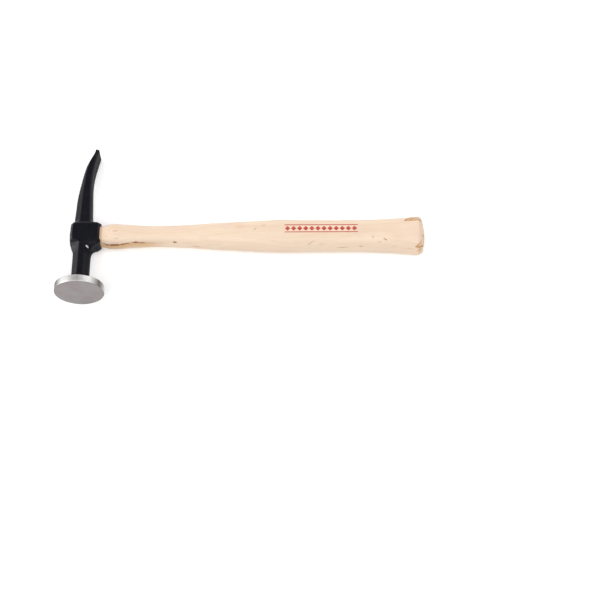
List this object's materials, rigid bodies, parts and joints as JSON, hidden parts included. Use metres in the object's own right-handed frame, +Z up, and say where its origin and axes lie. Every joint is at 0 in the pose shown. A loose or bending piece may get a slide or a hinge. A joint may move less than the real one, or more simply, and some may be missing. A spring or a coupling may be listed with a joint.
{
  "type": "body hammer",
  "caption": "Light hammer with a round flat striking face, an octagonal neck and a curved cross chisel, wedged on a waisted wooden handle.",
  "frame": {"origin": "centre of the bounding box's underside: the hammer lies on its side on z = 0, resting on the striking disc's rim, a lower corner of the chisel's edge and the handle's butt", "axes": "+X along the handle from the head to the butt, +Y along the head from the striking face to the chisel, +Z up from the bench through the cheek"},
  "size_m": [0.2965, 0.1322, 0.0403],
  "materials": {
    "black_paint": "semi-gloss black on forged steel",
    "bare_steel": "ground and polished",
    "hickory": "pale, sanded, clear lacquer",
    "wedge_wood": "bare end grain, darker hardwood"
  },
  "bodies": {
    "root": {"hammer_head": "black_paint", "handle": "hickory", "wood_wedge": "wedge_wood", "steel_wedge": "bare_steel"}
  },
  "joints": []
}
